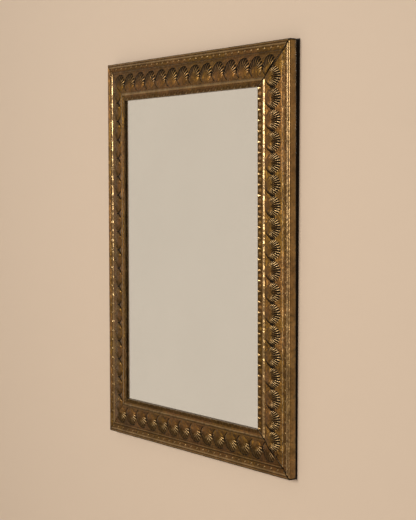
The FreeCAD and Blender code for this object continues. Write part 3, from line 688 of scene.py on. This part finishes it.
def new_object(name, content):
    piece = bpy.data.objects.new(name, content)
    bpy.context.scene.collection.objects.link(piece)
    return piece


def stand_for(name, mesh, body, node):
    """Show a finished mesh in place of a plain one."""
    piece = new_object(name, mesh)
    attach(piece, body)
    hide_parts(node)


def baked(name, tree, values, base=None):
    """Plain mesh that a tree makes from a base mesh and its named inputs."""
    host = new_object(name + "_host", base or bpy.data.meshes.new(name + "_host"))
    modifier = host.modifiers.new("nodes", "NODES")
    modifier.node_group = tree
    sockets = {item.name: item.identifier for item in tree.interface.items_tree if item.in_out == "INPUT"}
    for label, value in values.items():
        modifier[sockets[label]] = value
    graph = bpy.context.evaluated_depsgraph_get()
    mesh = bpy.data.meshes.new_from_object(host.evaluated_get(graph), depsgraph=graph)
    mesh.name = name
    host.modifiers.clear()
    bpy.data.objects.remove(host)
    return mesh


def mitre(mesh, half_length, tight_ends):
    """Cut both ends of a strip at 45 degrees and close them; darken the sheet along the cut."""
    shape = bmesh.new()
    shape.from_mesh(mesh)
    for end in (-1, 1):
        everything = shape.verts[:] + shape.edges[:] + shape.faces[:]
        cut = Vector((end * (half_length - MITRE_GAP * math.sqrt(2)) * MM, 0, 0))
        bmesh.ops.bisect_plane(
            shape, geom=everything, dist=1e-7, plane_co=cut, plane_no=Vector((end, 1, 0)), clear_outer=True)
        bmesh.ops.holes_fill(shape, edges=[edge for edge in shape.edges if edge.is_boundary], sides=0)
    bmesh.ops.recalc_face_normals(shape, faces=shape.faces)
    joint = shape.verts.layers.float.new("joint")
    for vertex in shape.verts:
        away = (half_length - abs(vertex.co.x) / MM - vertex.co.y / MM) / math.sqrt(2)
        share = TIGHT_JOINT if math.copysign(1, vertex.co.x) in tight_ends else 1.0
        vertex[joint] = share * min(1.0, max(0.0, (JOINT_REACH - away) / JOINT_FADE))
    shape.to_mesh(mesh)
    shape.free()


def smooth(mesh, angle):
    """Smooth shading with sharp edges where faces meet at more than an angle, in degrees."""
    mesh.shade_smooth()
    mesh.set_sharp_from_angle(angle=math.radians(angle))


DENT_DEPTH, DENT_SCALE = 0.35, 38.0
# Angles, in degrees, over which an edge stays sharp
STRIP_CREASE, SCREW_CREASE, HANGER_CREASE = 52, 35, 50


def make_strips():
    """The four embossed strips, each over its side of the frame."""
    tree = make_strip_tree()
    for name, side in SIDES.items():
        shell_tile = new_object("shell_tile", tile_mesh("shell_tile", side, True))
        plain_tile = new_object("plain_tile", tile_mesh("plain_tile", side, False))
        mesh = baked("embossed_" + name, tree, {
            "Shell Tile": shell_tile, "Plain Tile": plain_tile, "Shells": side.shells,
            "Plain Tiles": side.plain, "Pitch": PITCH * MM, "Finish": BRASS, "Patina": side.patina,
            "Dent Depth": DENT_DEPTH * MM, "Dent Scale": DENT_SCALE})
        bpy.data.objects.remove(shell_tile)
        bpy.data.objects.remove(plain_tile)
        mitre(mesh, side.half_length, side.tight_ends)
        mesh.transform(side_matrix(side))
        smooth(mesh, STRIP_CREASE)
        stand_for("embossed_" + name, mesh, "mirror", "cladding_" + name)


make_strips()

SILVERING_GAP = 0.04
ARRIS = 0.35


def make_pane():
    """Pane with its sharp edges taken off, a hair's breadth in front of the silvering."""
    low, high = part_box("mirror_glass")
    back = high[1] - SILVERING_GAP * MM
    shape = bmesh.new()
    bmesh.ops.create_cube(shape, size=1.0)
    for vertex in shape.verts:
        vertex.co = Vector((low[0] if vertex.co.x < 0 else high[0], low[1] if vertex.co.y < 0 else back,
                            low[2] if vertex.co.z < 0 else high[2]))
    bmesh.ops.bevel(shape, geom=shape.edges[:], offset=ARRIS * MM, segments=1, affect="EDGES")
    mesh = bpy.data.meshes.new("glass_pane")
    shape.to_mesh(mesh)
    shape.free()
    mesh.materials.append(GLASS)
    stand_for("glass_pane", mesh, "mirror", "mirror_glass")


make_pane()


# Screws and hangers on the back; their bench has X to the right, Y up and Z out from the wall
BACK_BENCH = Matrix.Rotation(math.radians(90), 4, "X")
PANEL_SCREW_INSET = 72.0
PANEL_SCREW_SPOTS = {"rail": (-150.0, 150.0), "stile": (-330.0, -110.0, 110.0, 330.0)}
# Screws by pairs of radius and height, from the head's top to the point
PANEL_SCREW = ((0.0, -0.06), (2.9, -0.06), (3.25, 0.02), (1.5, 1.8), (1.5, 11.5), (0.5, 16.0), (0.0, 16.0))
HANGER_SCREW = ((0.0, -1.2), (1.2, -1.14), (2.1, -0.88), (2.6, -0.45), (2.75, 0.0), (1.4, 0.0), (1.4, 8.8),
                (0.5, 13.0), (0.0, 13.0))
PANEL_SLOT_DEPTH, HANGER_SLOT_DEPTH = 0.8, 0.7
PANEL_TURN_SEED, HANGER_TURN_SEED = 4, 9
SCREW_SIDES = 28
SLOT_LONG, SLOT_WIDE = 9.0, 0.75
HANGER_ACROSS, HANGER_UP = 312.0, 240.0
HANGER_SCREW_DROPS = (13.0, 25.0)
STRAP_HALF, STRAP_LENGTH, STRAP_THICK = 6.0, 32.0, 0.7
WIRE_RADIUS = 1.2
BAR_OUT = 2.05
BAR_HALF, RING_CORNER, RING_BOW = 8.0, 3.0, 11.0
WIRE_SIDES, CORNER_STEPS, BOW_STEPS = 14, 6, 32
STRAP_END_STEPS, STRAP_END_START = 9, 8
EYE_STEPS, EYE_TURN = 30, 330


def lathe(name, profile, sides=SCREW_SIDES):
    """Round piece from pairs of radius and height along Z, closed on its axis at both ends."""
    shape = bmesh.new()
    rings = []
    for radius, height in profile:
        turns = [2 * math.pi * step / sides for step in range(sides)] if radius else [0.0]
        spots = [(radius * math.cos(turn), radius * math.sin(turn), height) for turn in turns]
        rings.append([shape.verts.new(Vector(spot) * MM) for spot in spots])
    for lower, upper in zip(rings, rings[1:]):
        for step in range(sides):
            following = (step + 1) % sides
            corners = [lower[step % len(lower)], lower[following % len(lower)],
                       upper[following % len(upper)], upper[step % len(upper)]]
            shape.faces.new(list(dict.fromkeys(corners)))
    bmesh.ops.recalc_face_normals(shape, faces=shape.faces)
    mesh = bpy.data.meshes.new(name)
    shape.to_mesh(mesh)
    shape.free()
    return mesh


def slotted_screw(name, profile, slot_depth):
    """Screw with a straight slot across its head."""
    screw = new_object(name, lathe(name, profile))
    shape = bmesh.new()
    bmesh.ops.create_cube(shape, size=1.0)
    bmesh.ops.scale(shape, vec=Vector((SLOT_LONG, SLOT_WIDE, 2 * slot_depth)) * MM, verts=shape.verts)
    bmesh.ops.translate(shape, vec=Vector((0, 0, profile[0][1] * MM)), verts=shape.verts)
    blade = bpy.data.meshes.new(name + "_slot")
    shape.to_mesh(blade)
    shape.free()
    cutter = new_object(name + "_slot", blade)
    cut = screw.modifiers.new("slot", "BOOLEAN")
    cut.operation = "DIFFERENCE"
    cut.solver = "EXACT"
    cut.object = cutter
    graph = bpy.context.evaluated_depsgraph_get()
    mesh = bpy.data.meshes.new_from_object(screw.evaluated_get(graph), depsgraph=graph)
    screw.modifiers.clear()
    mesh.materials.append(STEEL)
    screw.data = mesh
    bpy.data.objects.remove(cutter)
    return screw


def make_screw_tree():
    """A screw at each point, its slot turned at random about its own axis."""
    tree, given = new_tree("screws", [
        ("Screw", "NodeSocketObject"), ("Turn Seed", "NodeSocketInt"), ("Finish", "NodeSocketMaterial")])
    shape = add(tree, "GeometryNodeObjectInfo", {"Object": given["Screw"]}).outputs["Geometry"]
    turn = add(tree, "FunctionNodeRandomValue", data_type="FLOAT_VECTOR")
    turn.inputs[1].default_value = (0.0, 0.0, math.pi)
    tree.links.new(given["Turn Seed"], turn.inputs["Seed"])
    placed = add(tree, "GeometryNodeInstanceOnPoints", {
        "Points": given["Geometry"], "Instance": shape, "Rotation": turn.outputs[0]}).outputs[0]
    real = add(tree, "GeometryNodeRealizeInstances", {"Geometry": placed}).outputs[0]
    done = add(tree, "GeometryNodeSetMaterial", {"Geometry": real, "Material": given["Finish"]}).outputs[0]
    add(tree, "NodeGroupOutput", {0: done})
    return tree


def panel_screw_spots():
    """Places of the back panel's screws, round all four sides."""
    across = HALF_WIDTH - PANEL_SCREW_INSET
    up = HALF_HEIGHT - PANEL_SCREW_INSET
    spots = [(spot, end * up, 0.0) for end in (-1, 1) for spot in PANEL_SCREW_SPOTS["rail"]]
    return spots + [(end * across, spot, 0.0) for end in (-1, 1) for spot in PANEL_SCREW_SPOTS["stile"]]


def hanger_screw_spots():
    """Places of the screws through the two straps."""
    seat = WOOD_BACK - STRAP_THICK
    return [(end * HANGER_ACROSS, HANGER_UP - drop, seat) for end in (-1, 1) for drop in HANGER_SCREW_DROPS]


def make_screws():
    tree = make_screw_tree()
    for node, profile, depth, spots, seed in (
            ("panel_screws", PANEL_SCREW, PANEL_SLOT_DEPTH, panel_screw_spots(), PANEL_TURN_SEED),
            ("hanger_screws", HANGER_SCREW, HANGER_SLOT_DEPTH, hanger_screw_spots(), HANGER_TURN_SEED)):
        name = "slotted_" + node
        screw = slotted_screw(name + "_one", profile, depth)
        points = bpy.data.meshes.new(name + "_spots")
        points.from_pydata([Vector(spot) * MM for spot in spots], [], [])
        mesh = baked(name, tree, {"Screw": screw, "Turn Seed": seed, "Finish": STEEL}, points)
        bpy.data.objects.remove(screw)
        mesh.transform(BACK_BENCH)
        smooth(mesh, SCREW_CREASE)
        stand_for(name, mesh, "mirror", node)


def way_at(degrees):
    turn = math.radians(degrees)
    return math.cos(turn), math.sin(turn)


def ring_line():
    """Middle of a ring's wire, all the way round, and the way out of the loop at each place."""
    line = [((0.0, 0.0), (0.0, -1.0))]
    for step in range(CORNER_STEPS + 1):
        way = way_at(270 - 90 * step / CORNER_STEPS)
        line.append(((-BAR_HALF + RING_CORNER * way[0], RING_CORNER * (1 + way[1])), way))
    corner = line[1:]
    for step in range(1, BOW_STEPS):
        way = way_at(180 - 180 * step / BOW_STEPS)
        line.append(((RING_BOW * way[0], RING_CORNER + RING_BOW * way[1]), way))
    return line + [((-spot[0], spot[1]), (-way[0], way[1])) for spot, way in reversed(corner)]


def ring_mesh(name):
    """Closed loop of round wire."""
    points = []
    for (across, up), (way_across, way_up) in ring_line():
        for step in range(WIRE_SIDES):
            turn = 2 * math.pi * step / WIRE_SIDES
            reach = WIRE_RADIUS * math.cos(turn)
            out = BAR_OUT + WIRE_RADIUS * math.sin(turn)
            points.append((across + way_across * reach, up + way_up * reach, out))
    loops = len(points) // WIRE_SIDES
    faces = []
    for loop in range(loops):
        for step in range(WIRE_SIDES):
            here, there = loop * WIRE_SIDES, (loop + 1) % loops * WIRE_SIDES
            following = (step + 1) % WIRE_SIDES
            faces.append((here + step, here + following, there + following, there + step))
    return closed_mesh(name, points, faces)


def closed_mesh(name, points, faces):
    """Mesh from points in millimetres, with its faces turned outward and its steel finish."""
    mesh = bpy.data.meshes.new(name)
    mesh.from_pydata([Vector(point) * MM for point in points], [], faces)
    shape = bmesh.new()
    shape.from_mesh(mesh)
    bmesh.ops.recalc_face_normals(shape, faces=shape.faces)
    shape.to_mesh(mesh)
    shape.free()
    mesh.materials.append(STEEL)
    return mesh


def strap_line():
    """Middle of a strap's thickness from its round end over its eye: place, way out and half width."""
    middle = WOOD_BACK - STRAP_THICK / 2
    line = []
    for step in range(STRAP_END_STEPS + 1):
        cosine, sine = way_at(STRAP_END_START + (90 - STRAP_END_START) * step / STRAP_END_STEPS)
        line.append(((-STRAP_LENGTH + STRAP_HALF * (1 - cosine), middle), (0.0, 1.0), STRAP_HALF * sine))
    eye = middle - BAR_OUT
    for step in range(EYE_STEPS + 1):
        way = way_at(90 - EYE_TURN * step / EYE_STEPS)
        line.append(((eye * way[0], BAR_OUT + eye * way[1]), way, STRAP_HALF))
    return line


def strap_mesh(name):
    """Strap of steel sheet with a round end, rolled at the top into an eye."""
    points = []
    for (up, out), (way_up, way_out), half in strap_line():
        for end, face in ((-1, -1), (1, -1), (1, 1), (-1, 1)):
            lift = face * STRAP_THICK / 2
            points.append((end * half, up + way_up * lift, out + way_out * lift))
    last = len(points) - 4
    faces = [(0, 1, 2, 3), (last, last + 1, last + 2, last + 3)]
    for start in range(0, last, 4):
        for step in range(4):
            following = (step + 1) % 4
            faces.append((start + step, start + following, start + 4 + following, start + 4 + step))
    return closed_mesh(name, points, faces)


def make_hangers():
    for name, end in (("left", -1), ("right", 1)):
        place = Matrix.Translation((end * HANGER_ACROSS * MM, 0, HANGER_UP * MM)) @ BACK_BENCH
        for kind, shape, body in (("ring", ring_mesh, "ring_" + name), ("strap", strap_mesh, "mirror")):
            mesh = shape("round_" + kind + "_" + name)
            mesh.transform(place)
            smooth(mesh, HANGER_CREASE)
            stand_for(mesh.name, mesh, body, "hanger_" + kind + "_" + name)


make_screws()
make_hangers()

# Finishes of the carried-over pieces
NODE_FINISHES = {
    "mitre_keys": RAIL_WOOD, "core_bottom_rail": RAIL_WOOD, "core_top_rail": RAIL_WOOD,
    "core_left_stile": STILE_WOOD, "core_right_stile": STILE_WOOD,
    "glass_fillet_bottom_rail": RAIL_WOOD, "glass_fillet_top_rail": RAIL_WOOD,
    "glass_fillet_left_stile": STILE_WOOD, "glass_fillet_right_stile": STILE_WOOD,
    "back_panel": PANEL_WOOD, "silvering": SILVER,
    "cladding_pins": PIN_BRASS, "fillet_pins": STEEL,
}
for node, material in NODE_FINISHES.items():
    piece = bpy.data.objects[node]
    piece.data.materials.clear()
    piece.data.materials.append(material)


# Stage: a plain wall behind the mirror, seen from its front only, and a pale floor
WALL_COLOUR = rgba(0.66, 0.515, 0.385)
# Colour of the painted shadow on the wall behind the mirror
GAP_SHADOW_COLOUR = rgba(0.008, 0.006, 0.004)
FLOOR_COLOUR = rgba(0.74, 0.68, 0.60)
# How far past the frame the painted shadow fades out
GAP_SHADOW_FADE = 2.0 * MM
WALL_GAP = 3.3 * MM
WALL_LEAN = 0.0069
WALL_HALF = 4.0
FLOOR_DOWN = -1.45
FLOOR_HALF = 3.4
CEILING_UP = 2.4


def plain_surface(name, colour):
    material, tree, shader, place = new_material(name)
    finish(tree, shader, Base_Color=colour, Roughness=0.9)
    return material, tree, shader, place


def flat_sheet(name, corners, material):
    mesh = bpy.data.meshes.new(name)
    mesh.from_pydata(corners, [], [(0, 1, 2, 3)])
    mesh.materials.append(material)
    return new_object(name, mesh)


def make_wall():
    """Pale wall with a painted shadow: black where the mirror covers it, for the dark gap behind the frame.
    """
    material, tree, shader, place = plain_surface("plain wall", WALL_COLOUR)
    spot = add(tree, "ShaderNodeSeparateXYZ", {0: place}).outputs
    covered = 1.0
    for axis, half in (("X", HALF_WIDTH * MM), ("Z", HALF_HEIGHT * MM)):
        far = math_node(tree, "ABSOLUTE", spot[axis])
        covered = math_node(tree, "MULTIPLY", covered, ramp(tree, far, half + GAP_SHADOW_FADE, half))
    # Painted shadow: the wall is black where the mirror covers it
    finish(tree, shader, Base_Color=mix_colour(tree, covered, WALL_COLOUR, GAP_SHADOW_COLOUR))
    see_through = add(tree, "ShaderNodeBsdfTransparent").outputs[0]
    behind = add(tree, "ShaderNodeNewGeometry").outputs["Backfacing"]
    mixed = add(tree, "ShaderNodeMixShader", {0: behind, 1: shader.outputs[0], 2: see_through}).outputs[0]
    tree.links.new(mixed, tree.nodes["Material Output"].inputs["Surface"])
    foot = WALL_GAP + WALL_LEAN * FLOOR_DOWN
    head = WALL_GAP + WALL_LEAN * CEILING_UP
    corners = [(-WALL_HALF, foot, FLOOR_DOWN), (WALL_HALF, foot, FLOOR_DOWN),
               (WALL_HALF, head, CEILING_UP), (-WALL_HALF, head, CEILING_UP)]
    wall = flat_sheet("wall", corners, material)
    wall.visible_diffuse = False
    wall.visible_glossy = False
    wall.visible_shadow = False
    return wall


def make_floor():
    material = plain_surface("pale floor", FLOOR_COLOUR)[0]
    corners = [(across * FLOOR_HALF, deep * FLOOR_HALF, FLOOR_DOWN)
               for across, deep in ((-1, -1), (1, -1), (1, 1), (-1, 1))]
    floor = flat_sheet("floor", corners, material)
    floor.visible_glossy = False
    return floor


make_wall()
make_floor()


# Light: an even room for plain surfaces, a room of beige walls for metal and glass, and three soft lamps
ROOM_AXIS = (-0.82, -0.57, 0.0)
EVEN_LIGHT = rgba(0.36, 0.35, 0.34)
BACKGROUND = rgba(0.64, 0.51, 0.38)
DIM_WALL = rgba(0.06, 0.050, 0.040)
# Walls by how far they lie along the room's axis, and the floor and ceiling by their height
ROOM_WALLS = (
    (0.0, 0.85, rgba(0.66, 0.565, 0.465)), (-0.08, -0.35, rgba(0.34, 0.31, 0.28)),
    (-0.60, -0.92, rgba(0.72, 0.56, 0.38)))
ROOM_ENDS = ((-0.22, -0.45, rgba(0.17, 0.130, 0.085)), (0.20, 0.60, rgba(0.30, 0.265, 0.225)))


def make_world():
    world = bpy.data.worlds.new("room")
    bpy.context.scene.world = world
    world.use_nodes = True
    tree = world.node_tree
    direction = add(tree, "ShaderNodeTexCoord").outputs["Generated"]
    toward = add(tree, "ShaderNodeVectorMath", {0: direction, 1: ROOM_AXIS}, operation="DOT_PRODUCT")
    upward = add(tree, "ShaderNodeSeparateXYZ", {0: direction}).outputs["Z"]
    seen = DIM_WALL
    for place, zones in ((toward.outputs["Value"], ROOM_WALLS), (upward, ROOM_ENDS)):
        for start, end, colour in zones:
            seen = mix_colour(tree, ramp(tree, place, start, end), seen, colour)
    ray = add(tree, "ShaderNodeLightPath").outputs
    seen = mix_colour(tree, ray["Is Diffuse Ray"], seen, EVEN_LIGHT)
    seen = mix_colour(tree, ray["Is Camera Ray"], seen, BACKGROUND)
    finish(tree, tree.nodes["Background"], Color=seen, Strength=1.0)


def pane_left_out():
    """Collection by which a lamp leaves the pane out, so that the glass shows only the room's walls."""
    collection = bpy.data.collections.new("pane that the lamps leave out")
    collection.objects.link(bpy.data.objects["glass_pane"])
    collection.collection_objects[0].light_linking.link_state = "EXCLUDE"
    return collection


def soft_light(name, place, aim, size, power, colour, receivers):
    """Rectangular lamp turned to its aim."""
    lamp = bpy.data.lights.new(name, "AREA")
    lamp.shape = "RECTANGLE"
    lamp.size, lamp.size_y = size
    lamp.energy = power
    lamp.color = colour
    light = new_object(name, lamp)
    light.location = place
    light.rotation_euler = (Vector(aim) - Vector(place)).to_track_quat("-Z", "Y").to_euler()
    light.visible_transmission = False
    light.light_linking.receiver_collection = receivers


COOL_DAYLIGHT, WARM_DAYLIGHT = (1.0, 0.98, 0.95), (1.0, 0.96, 0.92)
make_world()
RECEIVERS = pane_left_out()
soft_light("window", (-0.10, -3.30, 0.72), (0.0, 0.0, 0.3), (1.2, 1.3), 60.0, COOL_DAYLIGHT, RECEIVERS)
soft_light("doorway", (1.05, -3.20, -0.50), (0.1, 0.0, -0.2), (0.9, 1.8), 15.0, WARM_DAYLIGHT, RECEIVERS)
soft_light("behind", (-0.9, 2.6, 1.1), (0.0, 0.0, 0.0), (1.6, 1.6), 28.0, COOL_DAYLIGHT, RECEIVERS)

# Camera at the photograph's viewpoint
CAMERA_PLACE = (2.38698, -1.69985, 0.14517)
CAMERA_TURN = (86.91005, 0.14423, 54.07889)
camera = new_object("camera", bpy.data.cameras.new("camera"))
camera.location = CAMERA_PLACE
camera.rotation_euler = [math.radians(turn) for turn in CAMERA_TURN]
camera.data.lens = 90.0
camera.data.sensor_width = 36.0
bpy.context.scene.camera = camera
bpy.context.scene.view_settings.view_transform = "Standard"
